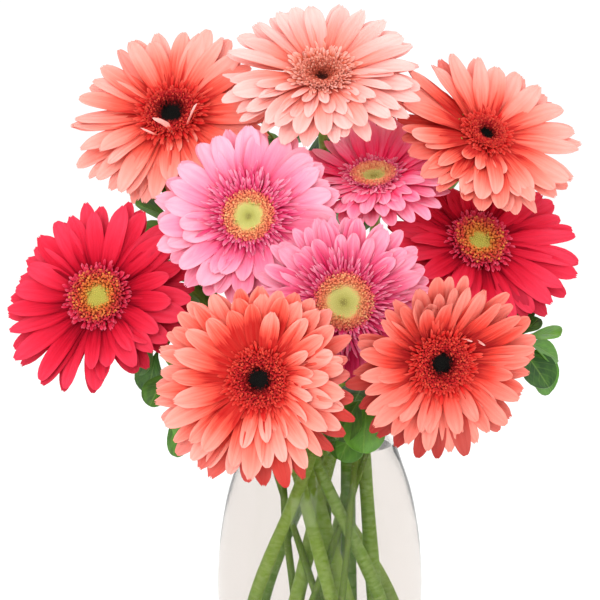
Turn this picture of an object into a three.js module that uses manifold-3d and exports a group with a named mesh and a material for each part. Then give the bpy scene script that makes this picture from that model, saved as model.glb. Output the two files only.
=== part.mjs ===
import * as THREE from 'three';
import { mergeVertices } from 'three/addons/utils/BufferGeometryUtils.js';
import Module from 'manifold-3d';

// Ten gerberas and five leafy twigs that stand in a clear glass vase of water.
// Millimetres, +Z up. The origin is the middle of the vase's flat underside.
// The arrangement faces -Y, and +X is to the right of someone who looks at it from there.

const wasm = await Module();
wasm.setup();

// Touching pieces keep this clearance, and the water a little more from what stands in it.
const GAP = 0.3;
const WATER_GAP = 0.4;

// Vase: its outside is a smooth curve through points of radius and height, and its inside follows it.
const VASE_HEIGHT = 200;
const RIM_RADIUS = 48;
const NECK_RADIUS = 44;
const NECK_HEIGHT = 184;
const BELLY_RADIUS = 62;
const BELLY_HEIGHT = 86;
const FOOT_RADIUS = 46;
const FOOT_ROUNDING = 2.5;
const RIM_ROUNDING = 1.2;
const OUTSIDE = [
  [FOOT_RADIUS, FOOT_ROUNDING], [53, 22], [59.4, 50], [BELLY_RADIUS, BELLY_HEIGHT], [61, 112], [58.4, 132],
  [54.6, 150], [48.6, 168], [NECK_RADIUS, NECK_HEIGHT], [RIM_RADIUS - RIM_ROUNDING, VASE_HEIGHT - 1.6],
];
const OUTSIDE_STEPS = 11;
const WALL = 3;
const FLOOR = 9;
const FLOOR_RADIUS = 39;
const FLOOR_CORNER_WIDTH = 6.5;
const FLOOR_CORNER_HEIGHT = 5;
const WALL_CLEAR_OF_CORNER = 10;
const WALL_CLEAR_OF_TOP = 4;
const WATER_LEVEL = 176;
const LATHE_SIDES = 36;

// Stems and twigs.
const STEM_RADIUS = 3.4;
const TWIG_RADIUS = 2;
const STEM_SIDES = 8;
const STEM_STEPS = 14;
const TWIG_SIDES = 6;
const TWIG_STEPS = 26;
const NECK_CROSSING = 188;
const BOW_HANDLE = 2.25;

// Flower head, along the direction that it faces. Height 0 is the plane the ray florets spring from.
const CUP_DEPTH = 17;
const CUP_RADIUS = 15.5;
const RAY_BASE = -2.4;
const RAY_BASE_THICKNESS = 2.6;
const RAY_TIP_THICKNESS = 1.4;
const RAY_INNER_RADIUS = 11.3;
const RAY_BEND_RADIUS = 17;
const RAY_COUNT = 18;
const RAY_NOTCH = 0.12;
const CROWDING_SHARPNESS = 12;
const DISC_RADIUS = 15.5;
const DISC_HEIGHT = 5;
const HEAD_SIDES = 14;

// Leaf blade: half its width at shares of its length, for a leaf 30 long, with a short stalk.
// It is folded a little along its midrib, arches down to its tip and lies with its upper face to LIGHT.
const LEAF_OUTLINE = [[0, 0.5], [0.16, 0.8], [0.34, 5.5], [0.56, 8.6], [0.76, 9.2], [0.92, 6.4], [1, 1.6]];
const LEAF_OUTLINE_LENGTH = 30;
const LEAF_THICKNESS = 1.2;
const LEAF_FOLD = 0.16;
const LEAF_ARCH = 0.12;
const LEAF_OFF_BARK = 0.6;
const LEAF_OFF_TIP = 0.8;
const LIGHT = [0, -0.5, 0.87];

const COLOURS = {
  glass: 0xdfe8e6,
  water: 0xe6eeec,
  stem: 0x5f8a2a,
  involucre: 0x4f7a26,
  twig: 0x6b7a35,
  leaf: 0x3f6b22,
  coral: 0xfd9885,
  peach: 0xfdccc3,
  pink: 0xfcaac2,
  deepPink: 0xee6d8b,
  red: 0xe2283f,
  darkEye: 0x6b1416,
  paleEye: 0xc8b85c,
};

// Each flower: where its disc sits, which way it faces (turn from -Y towards +X, lift above level),
// how far its florets reach, how much they rise at the bottom and at the top of the head, and
// where its stem stands on the vase floor and passes the neck. A stem with a bow leans out by that
// much, in x and y, in the belly of the vase. Florets that press against a neighbour are shorter:
// crowded lists their directions, in degrees anticlockwise from the head's right, and the share by
// which they fall short.
const FLOWERS = [
  { colour: 'coral', eye: 'darkEye', at: [-89, 12, 374], turn: -8, lift: 39, reach: 58, rise: [-17, 10],
    foot: [32, -3], neck: [-13, -5] },
  { colour: 'peach', eye: 'darkEye', at: [1, 0, 398], turn: 0, lift: 50, reach: 57, rise: [-4, 6],
    foot: [15, 11], neck: [14, 11] },
  { colour: 'coral', eye: 'darkEye', at: [99, 6, 362], turn: 27, lift: 40, reach: 56, rise: [-2, 4],
    foot: [-29, 20], neck: [6, 31], bow: [-12, 0] },
  { colour: 'pink', eye: 'paleEye', at: [-42, -42, 317], turn: 1, lift: 17, reach: 53, rise: [10, -4],
    foot: [25, -22], neck: [-19, -14] },
  { colour: 'deepPink', eye: 'paleEye', at: [32, -2, 337], turn: -8, lift: 62, reach: 47, rise: [-3, 24],
    crowded: [{ toward: 138, by: 0.22 }], foot: [32, 8], neck: [21, 6] },
  { colour: 'red', eye: 'paleEye', at: [-130, -35, 269], turn: -13, lift: 20, reach: 56, rise: [0, 4],
    foot: [29, 21], neck: [-16, 18], bow: [22, 0] },
  { colour: 'red', eye: 'paleEye', at: [94, -12, 299], turn: 17, lift: 36, reach: 59, rise: [-4, 4],
    crowded: [{ toward: 93, by: 0.4 }, { toward: 152, by: 0.15 }], foot: [-14, 32], neck: [25, 25],
    bow: [0, 5] },
  { colour: 'pink', eye: 'paleEye', at: [13, -68, 270], turn: -1, lift: 15, reach: 48, rise: [4, 4],
    foot: [-26, 4], neck: [10, 4] },
  { colour: 'coral', eye: 'darkEye', at: [-35, -90, 229], turn: -11, lift: 0, reach: 61, rise: [4, 10],
    crowded: [{ toward: 0, by: 0.15 }], foot: [33, -14], neck: [-8, -22], bow: [17, 2.4] },
  { colour: 'coral', eye: 'darkEye', at: [68, -88, 238], turn: 15, lift: -9, reach: 55, rise: [4, 18],
    foot: [-34, -10], neck: [-2, -31], bow: [-16, -2] },
];

// Each twig: where it stands on the floor, where it passes the neck, and its way up to its tip.
// Each leaf of it: how far up the twig it grows, the way it points, and its length.
const TWIGS = [
  { foot: [-4, 20], neck: [-25, 2], way: [[-60, -4, 255], [-92, 2, 322]],
    leaves: [
      { along: 0.88, points: [-0.8, -0.3, -0.2], length: 28 },
      { along: 0.96, points: [-0.7, -0.4, 0.4], length: 28 },
      { along: 1, points: [-0.2, 0.2, 0.9], length: 24 },
    ] },
  { foot: [20, 2], neck: [-32, -8], way: [[-38, -9, 206], [-62, -18, 212], [-88, -20, 226], [-98, -18, 246]],
    leaves: [
      { along: 0.84, points: [-0.25, -0.4, -0.9], length: 38 },
      { along: 0.92, points: [-0.5, -0.45, -0.78], length: 32 },
      { along: 0.97, points: [-0.8, -0.5, 0.3], length: 26 },
      { along: 1, points: [0.75, -0.1, 0.6], length: 32 },
    ] },
  { foot: [-28, -3], neck: [31, -17], way: [[39, -18, 207], [80, -16, 228], [121, -18, 243]],
    leaves: [
      { along: 0.98, points: [0.6, -0.4, -0.7], length: 34 },
      { along: 1, points: [0.65, -0.65, 0.2], length: 30 },
    ] },
  { foot: [4, 12], neck: [4, 14], way: [[8, 32, 236], [26, 46, 300], [34, 48, 355]],
    leaves: [
      { along: 0.983, points: [-0.62, -0.1, 0.83], length: 30 },
      { along: 1, points: [0.35, -0.2, 0.9], length: 26 },
    ] },
  { foot: [4, -30], neck: [22, -22], way: [[28, -36, 206], [28, -50, 214], [26, -64, 222]],
    leaves: [
      { along: 0.95, points: [-0.1, -0.5, -0.9], length: 36 },
      { along: 1, points: [-0.2, -0.8, -0.1], length: 28 },
    ] },
];

const group = new THREE.Group();

function addPiece(name, geometry, colour, roughness) {
  const material = new THREE.MeshStandardMaterial({ color: COLOURS[colour], roughness, metalness: 0 });
  const mesh = new THREE.Mesh(geometry, material);
  mesh.name = name;
  group.add(mesh);
  return mesh;
}

// A body turned about +Z from points of radius and height.
function turned(points, sides) {
  const profile = points.map(([radius, height]) => new THREE.Vector2(radius, height));
  return new THREE.LatheGeometry(profile, sides).rotateX(Math.PI / 2);
}

// A closed geometry as a solid that can be joined or cut, and the solid as a geometry again.
function solidOf(geometry) {
  const bare = geometry.clone();
  bare.deleteAttribute('normal');
  bare.deleteAttribute('uv');
  const merged = mergeVertices(bare, 1e-3);
  return new wasm.Manifold(new wasm.Mesh({
    numProp: 3,
    vertProperties: merged.attributes.position.array,
    triVerts: new Uint32Array(merged.index.array),
  }));
}

function geometryOf(solid) {
  const mesh = solid.getMesh();
  const geometry = new THREE.BufferGeometry();
  geometry.setAttribute('position', new THREE.BufferAttribute(mesh.vertProperties, 3));
  geometry.setIndex(new THREE.BufferAttribute(mesh.triVerts, 1));
  return geometry;
}

const outsideCurve = new THREE.SplineCurve(OUTSIDE.map((point) => new THREE.Vector2(...point)));

// Points up the inside, from the edge of the flat floor to just below top.
function innerWall(clearance, top) {
  const wall = outsideCurve.getPoints(OUTSIDE_STEPS)
    .map((point) => [point.x - WALL - clearance, point.y])
    .filter(([, height]) => height > FLOOR + WALL_CLEAR_OF_CORNER && height < top - WALL_CLEAR_OF_TOP);
  return [
    [FLOOR_RADIUS - clearance, FLOOR + clearance],
    [FLOOR_RADIUS + FLOOR_CORNER_WIDTH - clearance, FLOOR + FLOOR_CORNER_HEIGHT],
    ...wall,
  ];
}

function innerRadiusAt(height) {
  const wall = innerWall(0, VASE_HEIGHT);
  const above = wall.findIndex((point) => point[1] > height);
  const [[r0, h0], [r1, h1]] = [wall[above - 1], wall[above]];
  return r0 + (r1 - r0) * (height - h0) / (h1 - h0);
}

function vaseGeometry() {
  const outside = outsideCurve.getPoints(OUTSIDE_STEPS).map((point) => [point.x, point.y]);
  const inside = innerWall(0, VASE_HEIGHT).reverse();
  return turned([
    [0, 0], [FOOT_RADIUS - FOOT_ROUNDING, 0], ...outside,
    [RIM_RADIUS - WALL / 2, VASE_HEIGHT], [RIM_RADIUS - WALL, VASE_HEIGHT - RIM_ROUNDING],
    ...inside, [0, FLOOR],
  ], LATHE_SIDES);
}

function waterGeometry() {
  const top = innerRadiusAt(WATER_LEVEL) - GAP;
  return turned([
    [0, FLOOR + GAP], ...innerWall(GAP, WATER_LEVEL), [top, WATER_LEVEL], [0, WATER_LEVEL],
  ], LATHE_SIDES);
}

// A round section swept along a path.
function swept(path, radius, sides, steps) {
  const section = new THREE.Shape();
  for (let side = 0; side < sides; side += 1) {
    const angle = 2 * Math.PI * side / sides;
    const point = [radius * Math.cos(angle), radius * Math.sin(angle)];
    if (side === 0) section.moveTo(...point);
    else section.lineTo(...point);
  }
  return new THREE.ExtrudeGeometry(section, { steps, bevelEnabled: false, extrudePath: path });
}

// Where a run from the floor to the neck starts and ends. It sets out a third of the way to the neck
// plus lean, and the cut end's lowest edge clears the floor by the gap.
function footAndNeck(foot, neck, radius, lean = [0, 0]) {
  const across = Math.hypot((neck[0] - foot[0]) / 3 + lean[0], (neck[1] - foot[1]) / 3 + lean[1]);
  const slant = Math.atan2(across, (NECK_CROSSING - FLOOR) / 3);
  const height = FLOOR + GAP + radius * Math.sin(slant);
  return [new THREE.Vector3(...foot, height), new THREE.Vector3(...neck, NECK_CROSSING)];
}

// The direction that a head faces.
function facing({ turn, lift }) {
  const t = THREE.MathUtils.degToRad(turn);
  const l = THREE.MathUtils.degToRad(lift);
  return new THREE.Vector3(Math.sin(t) * Math.cos(l), -Math.cos(t) * Math.cos(l), Math.sin(l));
}

// A head's own frame: z the way it faces, x level and to the right, y up its face.
function headMatrix(flower) {
  const front = facing(flower);
  const right = new THREE.Vector3(0, 0, 1).cross(front).normalize();
  const up = front.clone().cross(right);
  return new THREE.Matrix4().makeBasis(right, up, front).setPosition(...flower.at);
}

// Up through the vase, straight or bowed, then a smooth bend that ends square to the back of the head.
// The curve's first handle carries the bow, so it reaches the neck in the line from foot to neck.
function stemPath(flower) {
  const front = facing(flower);
  const lean = (flower.bow ?? [0, 0]).map((size) => size * BOW_HANDLE);
  const [foot, neck] = footAndNeck(flower.foot, flower.neck, STEM_RADIUS, lean);
  const top = new THREE.Vector3(...flower.at).addScaledVector(front, -(CUP_DEPTH + GAP));
  const along = neck.clone().sub(foot).normalize();
  const span = top.distanceTo(neck);
  const path = new THREE.CurvePath();
  path.add(new THREE.CubicBezierCurve3(
    foot,
    foot.clone().lerp(neck, 1 / 3).add(new THREE.Vector3(...lean, 0)),
    foot.clone().lerp(neck, 2 / 3),
    neck,
  ));
  path.add(new THREE.CubicBezierCurve3(
    neck,
    neck.clone().addScaledVector(along, 0.4 * span),
    top.clone().addScaledVector(front, -0.3 * span),
    top,
  ));
  return path;
}

function involucreGeometry() {
  return turned([
    [0, -CUP_DEPTH], [4.2, -CUP_DEPTH], [9.5, -13], [14, -7.5],
    [CUP_RADIUS, RAY_BASE - GAP], [0, RAY_BASE - GAP],
  ], HEAD_SIDES);
}

function discGeometry() {
  const under = RAY_BASE + RAY_BASE_THICKNESS + GAP;
  return turned([
    [0, RAY_BASE], [RAY_INNER_RADIUS - GAP, RAY_BASE], [RAY_INNER_RADIUS - GAP, under],
    [DISC_RADIUS - 0.5, under], [DISC_RADIUS, 2.4], [12, DISC_HEIGHT - 0.6], [6, DISC_HEIGHT],
    [0, DISC_HEIGHT - 1],
  ], HEAD_SIDES);
}

// The ray florets together: a shallow dish with a scalloped edge and a hole for the disc.
// Beyond the bend the dish rises by an angle that changes from the bottom of the head to its top.
function rayGeometry({ reach, rise, crowded = [] }) {
  const length = reach - RAY_BEND_RADIUS;
  const stations = [RAY_INNER_RADIUS, RAY_BEND_RADIUS, RAY_BEND_RADIUS + length * 0.55, reach];
  const thickness = (radius) => THREE.MathUtils.lerp(
    RAY_BASE_THICKNESS, RAY_TIP_THICKNESS, (radius - RAY_INNER_RADIUS) / (reach - RAY_INNER_RADIUS));
  const under = stations.map((radius) => [radius, RAY_BASE]);
  const over = stations.map((radius) => [radius, RAY_BASE + thickness(radius)]).reverse();
  const geometry = turned([...under, ...over, under[0]], 2 * RAY_COUNT);
  const position = geometry.attributes.position;
  const [low, high] = rise.map(THREE.MathUtils.degToRad);
  for (let i = 0; i < position.count; i += 1) {
    const [x, y, z] = [position.getX(i), position.getY(i), position.getZ(i)];
    const radius = Math.hypot(x, y);
    const out = Math.max(0, (radius - RAY_BEND_RADIUS) / length);
    const angle = Math.atan2(y, x);
    const valley = Math.round(angle / (Math.PI / RAY_COUNT)) % 2 !== 0;
    const angleUp = (low + high) / 2 + (high - low) / 2 * Math.sin(angle);
    const shortened = crowded.reduce((share, { toward, by }) => {
      const nearness = Math.max(0, Math.cos(angle - THREE.MathUtils.degToRad(toward)));
      return share - by * nearness ** CROWDING_SHARPNESS;
    }, 1);
    const grown = length * out * shortened * (valley ? 1 - RAY_NOTCH * out : 1);
    const newRadius = Math.min(radius, RAY_BEND_RADIUS) + grown * Math.cos(angleUp);
    position.setXYZ(i, x * newRadius / radius, y * newRadius / radius, z + grown * Math.sin(angleUp));
  }
  return geometry;
}

function twigPath(twig) {
  const [foot, neck] = footAndNeck(twig.foot, twig.neck, TWIG_RADIUS);
  const way = twig.way.map((point) => new THREE.Vector3(...point));
  return new THREE.CatmullRomCurve3([foot, foot.clone().lerp(neck, 0.55), neck, ...way]);
}

// Sections of six points across the blade, joined along it and closed at both ends.
function leafGeometry(length) {
  const sections = LEAF_OUTLINE.map(([share, halfWidth]) => {
    const y = share * length;
    const width = halfWidth * length / LEAF_OUTLINE_LENGTH;
    const drop = LEAF_ARCH * length * share * share;
    const edge = LEAF_FOLD * width - drop;
    const edgeTop = edge + 0.5 * LEAF_THICKNESS;
    return [
      [0, y, -drop], [width, y, edge], [width, y, edgeTop],
      [0, y, LEAF_THICKNESS - drop], [-width, y, edgeTop], [-width, y, edge],
    ];
  });
  const ring = sections[0].length;
  const index = [];
  for (let s = 0; s + 1 < sections.length; s += 1) {
    for (let k = 0; k < ring; k += 1) {
      const [a, b] = [s * ring + k, s * ring + (k + 1) % ring];
      index.push(a, a + ring, b, b, a + ring, b + ring);
    }
  }
  const last = (sections.length - 1) * ring;
  for (let k = 1; k + 1 < ring; k += 1) {
    index.push(0, k, k + 1);
    index.push(last, last + k + 1, last + k);
  }
  const geometry = new THREE.BufferGeometry();
  geometry.setAttribute('position', new THREE.Float32BufferAttribute(sections.flat(2), 3));
  geometry.setIndex(index);
  return geometry;
}

// A leaf springs from the twig's bark, or from its tip, and points its own way.
function placeLeaf(mesh, path, { along, points }) {
  const stalk = path.getPointAt(along);
  const tangent = path.getTangentAt(along);
  const aim = new THREE.Vector3(...points).normalize();
  const sideways = aim.clone().addScaledVector(tangent, -aim.dot(tangent)).normalize();
  if (along < 1) stalk.addScaledVector(sideways, TWIG_RADIUS + LEAF_OFF_BARK);
  else stalk.addScaledVector(tangent, LEAF_OFF_TIP);
  const right = aim.clone().cross(new THREE.Vector3(...LIGHT)).normalize();
  const upper = right.clone().cross(aim);
  mesh.matrixAutoUpdate = false;
  mesh.matrix.makeBasis(right, aim, upper).setPosition(stalk);
}

const stemPaths = FLOWERS.map(stemPath);
const twigPaths = TWIGS.map(twigPath);

addPiece('vase', vaseGeometry(), 'glass', 0.05);

// The water is cut away round everything that stands in it.
let water = solidOf(waterGeometry());
for (const path of stemPaths) {
  water = water.subtract(solidOf(swept(path, STEM_RADIUS + WATER_GAP, STEM_SIDES, STEM_STEPS)));
}
for (const path of twigPaths) {
  water = water.subtract(solidOf(swept(path, TWIG_RADIUS + WATER_GAP, TWIG_SIDES, TWIG_STEPS)));
}
addPiece('water', geometryOf(water), 'water', 0.02);

FLOWERS.forEach((flower, i) => {
  const number = i + 1;
  const matrix = headMatrix(flower);
  addPiece(`stem_${number}`, swept(stemPaths[i], STEM_RADIUS, STEM_SIDES, STEM_STEPS), 'stem', 0.6);
  const head = [
    addPiece(`involucre_${number}`, involucreGeometry(), 'involucre', 0.7),
    addPiece(`ray_florets_${number}`, rayGeometry(flower), flower.colour, 0.6),
    addPiece(`disc_florets_${number}`, discGeometry(), flower.eye, 0.8),
  ];
  for (const mesh of head) {
    mesh.matrixAutoUpdate = false;
    mesh.matrix.copy(matrix);
  }
});

TWIGS.forEach((twig, i) => {
  addPiece(`twig_${i + 1}`, swept(twigPaths[i], TWIG_RADIUS, TWIG_SIDES, TWIG_STEPS), 'twig', 0.7);
  twig.leaves.forEach((leaf, j) => {
    const mesh = addPiece(`leaf_${i + 1}_${j + 1}`, leafGeometry(leaf.length), 'leaf', 0.35);
    placeLeaf(mesh, twigPaths[i], leaf);
  });
});

export default group;
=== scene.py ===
import math

import bpy
import numpy as np
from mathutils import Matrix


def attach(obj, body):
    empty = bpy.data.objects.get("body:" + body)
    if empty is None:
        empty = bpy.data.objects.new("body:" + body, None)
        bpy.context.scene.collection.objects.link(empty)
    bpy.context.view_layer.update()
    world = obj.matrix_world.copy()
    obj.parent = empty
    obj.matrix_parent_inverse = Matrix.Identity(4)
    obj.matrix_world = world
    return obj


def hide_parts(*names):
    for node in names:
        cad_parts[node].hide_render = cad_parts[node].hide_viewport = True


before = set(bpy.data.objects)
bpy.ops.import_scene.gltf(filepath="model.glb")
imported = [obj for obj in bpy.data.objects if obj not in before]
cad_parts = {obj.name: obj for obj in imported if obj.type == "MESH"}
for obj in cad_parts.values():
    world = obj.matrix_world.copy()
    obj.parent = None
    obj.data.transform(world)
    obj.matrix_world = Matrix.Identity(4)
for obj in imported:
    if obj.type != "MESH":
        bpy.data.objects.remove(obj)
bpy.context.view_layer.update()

# Ten gerberas and five leafy twigs in a clear glass vase of water.
# Shapes are worked out in millimetres, +Z up, with the vase standing on z 0 and the flowers facing -Y,
# and are stored in metres. Angles are in degrees until they are used.

MM = 0.001

# ---- the vase and what stands in it, as the model has them ----

OUTSIDE = [(46, 2.5), (53, 22), (59.4, 50), (62, 86), (61, 112), (58.4, 132), (54.6, 150), (48.6, 168),
           (44, 184), (46.8, 198.4)]
WALL = 3
FLOOR = 9
WATER_LEVEL = 176
NECK_CROSSING = 188
GAP = 0.3
STEM_RADIUS = 3.4
TWIG_RADIUS = 2
CUP_DEPTH = 17
BOW_HANDLE = 2.25

# ---- what only shows ----

GLASS_SIDES = 128
FOOT_LIT = 16  # the height up to which light passes straight through the glass and the water
LIGHT = (0, -0.5, 0.87)  # where the leaves turn their upper face
LEAF_OFF_BARK = 0.6
LEAF_OFF_TIP = 0.8
LEAF_HALF_WIDTH = 0.35
GOLDEN_ANGLE = math.pi * (3 - math.sqrt(5))

# Each head: its kind, where its disc sits, the way it faces, its reach, how far its florets rise at
# the bottom and the top, and its stem's foot and neck. Then, where it has them:
#   bow: how far its stem swings out in the belly of the vase
#   crowded: the neighbours that press on it, or the room that it grows into (direction, the share of
#     the reach that is lost or won, sharpness)
#   deeper: painted shade: the sides on which its florets are painted darker (direction, amount)
#   lowest: painted shade: the sides on which its lowest whorl is painted in its deepest colour (direction, share)
#   disc_size, eye: the size of its disc and the radius of its eye
#   layers: shorter florets on one side (direction, span, count, share of the reach, width, how much
#     more they rise, arch)
#   strays: small florets over the disc's edge (direction, start, length, width, rise, sway)
PLAIN_HEAD = dict(bow=(0, 0), crowded=(), deeper=(), lowest=(), disc_size=1, layers=())
HEADS = [
    dict(kind="coral", at=(-89, 12, 374), turn=-8, lift=39, reach=58, rise=(-17, 10), foot=(32, -3),
         neck=(-13, -5), crowded=((140, -0.05, 2), (210, -0.1, 8), (112, 0.08, 10), (75, -0.05, 4)),
         deeper=((-30, 0.5), (270, 0.3)), eye=6.3,
         layers=((258, 120, 8, 0.78, 11, 6, 14), (285, 60, 3, 0.48, 7.6, 10, 26)),
         strays=((279, 15, 10.5, 4.8, 122, -0.95), (321, 14.6, 11, 4.8, 84, 0.85), (247, 18, 8, 3.6, 56, -0.9))),
    dict(kind="peach", at=(1, 0, 398), turn=0, lift=50, reach=57, rise=(-4, 6), foot=(15, 11), neck=(14, 11),
         crowded=((0, -0.07, 2), (180, -0.06, 2), (90, -0.08, 3), (285, 0.07, 6)),
         deeper=((270, 0.4),), disc_size=0.98,
         layers=((270, 170, 11, 0.72, 8.8, 9, 12), (270, 120, 6, 0.56, 6.6, 14, 18))),
    dict(kind="coral", at=(99, 6, 362), turn=27, lift=40, reach=56, rise=(-2, 4), foot=(-29, 20), neck=(6, 31),
         bow=(-12, 0), crowded=((60, -0.05, 2), (10, -0.12, 5), (342, -0.07, 8), (140, -0.08, 8)),
         deeper=((170, 0.7), (240, 1.0)),
         lowest=((150, 0.95),), disc_size=0.76, eye=4.8,
         layers=((240, 110, 8, 0.82, 10, 6, 14), (235, 70, 3, 0.56, 7.6, 12, 20), (138, 26, 2, 1.0, 11, -8, 6))),
    dict(kind="pink", at=(-42, -42, 317), turn=1, lift=17, reach=53, rise=(10, -4), foot=(25, -22),
         neck=(-19, -14), crowded=((90, -0.05, 2), (180, -0.02, 2)), deeper=((270, 0.3),),
         layers=((262, 150, 9, 0.78, 12, 8, 12),)),
    dict(kind="deep_pink", at=(32, -2, 337), turn=-8, lift=62, reach=47, rise=(-3, 24), foot=(32, 8),
         neck=(21, 6), crowded=((138, 0.12, 12), (0, -0.06, 2), (90, -0.08, 2)), disc_size=0.9,
         layers=((270, 150, 11, 0.72, 8.6, 9, 22), (270, 110, 8, 0.5, 7, 16, 30))),
    dict(kind="red", at=(-130, -35, 269), turn=-13, lift=20, reach=56, rise=(0, 4), foot=(29, 21),
         neck=(-16, 18), bow=(22, 0),
         crowded=((230, -0.14, 6), (160, 0.08, 12), (300, 0.08, 12), (70, -0.04, 4), (0, -0.05, 8)),
         deeper=((300, 0.3),), lowest=((0, 0.6), (270, 0.5)), layers=((330, 120, 7, 0.8, 11, 8, 10),)),
    dict(kind="red", at=(94, -12, 299), turn=17, lift=36, reach=59, rise=(-4, 4), foot=(-14, 32),
         neck=(25, 25), bow=(0, 5), crowded=((93, 0.4, 12), (152, 0.1, 12), (330, -0.08, 10), (0, -0.04, 12),
                                             (20, -0.06, 8), (300, 0.08, 12)),
         lowest=((270, 0.7),), layers=((215, 90, 4, 0.8, 11.5, 6, 10),)),
    dict(kind="streaked_pink", at=(13, -68, 270), turn=-1, lift=15, reach=48, rise=(4, 4), foot=(-26, 4),
         neck=(10, 4), crowded=((90, -0.07, 2), (0, -0.08, 2), (180, -0.08, 2)),
         deeper=((270, 1.3), (250, 0.4), (90, 0.2)),
         disc_size=1.12, eye=7.7, layers=((90, 190, 13, 0.78, 8.4, 7, 10),)),
    dict(kind="full_coral", at=(-35, -90, 229), turn=-11, lift=0, reach=61, rise=(4, 10), foot=(33, -14),
         neck=(-8, -22), bow=(17, 2.4), crowded=((0, 0.13, 12), (90, 0.12, 3), (203, -0.05, 8), (248, -0.04, 8)),
         deeper=((85, 1.5), (180, 0.9), (0, 0.4), (270, 0.4)),
         lowest=((270, 0.9), (335, 0.9)), layers=((320, 140, 9, 0.62, 8.6, 12, 16),)),
    dict(kind="deep_coral", at=(68, -88, 238), turn=15, lift=-9, reach=55, rise=(4, 18), foot=(-34, -10),
         neck=(-2, -31), bow=(-16, -2),
         crowded=((90, 0.05, 3), (280, -0.08, 3), (258, 0.06, 10), (315, 0.04, 8), (345, -0.03, 8)),
         deeper=((20, 0.8), (150, 0.6)),
         lowest=((215, 1.0), (275, 0.8)), layers=((270, 170, 9, 0.74, 9.6, 9, 12), (112, 30, 3, 0.9, 11.5, 16, -34)),
         strays=((54, 17, 6, 3.0, 50, -0.7), (35, 23, 5.5, 3.0, 60, -0.7))),
]

# Each twig: its foot, neck and way up, then its leaves as how far along, the way they point and length.
# The first leaves of each are the model's own; the rest fill the gaps between the heads.
TWIGS = [
    dict(foot=(-4, 20), neck=(-25, 2), way=((-60, -4, 255), (-92, 2, 322)), leaves=(
        (0.88, (-0.8, -0.3, -0.2), 28), (0.96, (-0.7, -0.4, 0.4), 28), (1, (-0.2, 0.2, 0.9), 24)),
        extra=((0.99, (0.25, 0.1, 0.95), 28), (0.985, (-0.85, 0.1, 0.5), 26), (0.9, (-0.5, 0.4, 0.7), 28),
               (0.82, (-0.7, 0.3, 0.6), 32), (0.76, (-0.9, 0.1, 0.15), 34), (0.7, (-0.75, -0.1, -0.55), 36),
               (0.71, (0.3, 0.3, 0.85), 30), (0.66, (-0.2, 0.3, 0.9), 32), (0.74, (-0.7, 0.1, 0.35), 34),
               (0.945, (-0.85, 0.1, -0.35), 26), (0.745, (-0.6, -0.1, 0.78), 36),
               (0.93, (-0.75, 0.1, 0.1), 30))),
    dict(foot=(20, 2), neck=(-32, -8), way=((-38, -9, 206), (-62, -18, 212), (-88, -20, 226), (-98, -18, 246)),
         leaves=((0.84, (-0.25, -0.4, -0.9), 38), (0.92, (-0.5, -0.45, -0.78), 27),
                 (0.97, (-0.8, -0.5, 0.3), 26), (1, (0.75, -0.1, 0.6), 32)),
         extra=((0.995, (0.1, 0.3, 0.95), 32), (0.94, (-0.15, 0.2, 0.95), 34), (0.9, (0.25, 0.3, 0.9), 34),
                (0.85, (-0.36, -0.1, -0.93), 46, 0.2), (0.97, (-0.27, 0.1, -0.95), 31),
                (0.985, (-0.5, -0.1, -0.75), 24))),
    dict(foot=(-28, -3), neck=(31, -17), way=((39, -18, 207), (80, -16, 228), (121, -18, 243)),
         leaves=((0.98, (0.6, -0.4, -0.7), 34), (1, (0.65, -0.65, 0.2), 26)),
         extra=((0.995, (0.55, 0.1, -0.84), 38), (0.975, (0.25, 0.45, 0.8), 28), (0.99, (0.6, 0.3, 0.55), 18),
               (0.9, (0.5, 0.1, -0.75), 32), (0.993, (0.86, 0.2, -0.45), 27))),
    dict(foot=(4, 12), neck=(4, 14), way=((8, 32, 236), (26, 46, 300), (34, 48, 355)),
         leaves=((0.983, (-0.62, -0.1, 0.83), 30), (1, (0.35, -0.2, 0.9), 26)),
         extra=((0.84, (-0.6, -0.5, 0.5), 32), (0.87, (0.2, -0.7, 0.6), 30), (0.8, (0.1, -0.8, 0.3), 32),
                (0.77, (-0.5, -0.6, 0.6), 30), (0.93, (-0.7, -0.4, 0.3), 28), (0.83, (0.3, -0.2, 0.75), 28))),
    dict(foot=(4, -30), neck=(22, -22), way=((28, -36, 206), (28, -50, 214), (26, -64, 222)),
         leaves=((0.95, (-0.1, -0.5, -0.9), 36), (1, (-0.2, -0.8, -0.1), 28)),
         extra=((0.97, (-0.55, -0.1, -0.85), 34), (0.9, (-0.45, -0.1, -0.9), 40), (0.93, (0.6, -0.1, -0.6), 30),
                (0.985, (-0.8, 0.1, 0.3), 30))),
]

# A side shoot from twig 4 towards the gap below the pale head: how far up it starts, its way, its leaves.
SIDE_SHOOT = dict(twig=4, start=0.8, way=((4, 47, 322), (-18, 45, 345), (-32, 42, 362)), leaves=(
    (0.55, (0.5, -0.2, 0.8), 28), (0.72, (-0.6, -0.2, 0.5), 28), (0.85, (0.75, -0.2, 0.45), 28),
    (0.93, (-0.8, -0.2, -0.1), 26), (1, (-0.5, -0.1, 0.8), 28), (0.7, (0.6, -0.2, 0.5), 30)))

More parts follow.
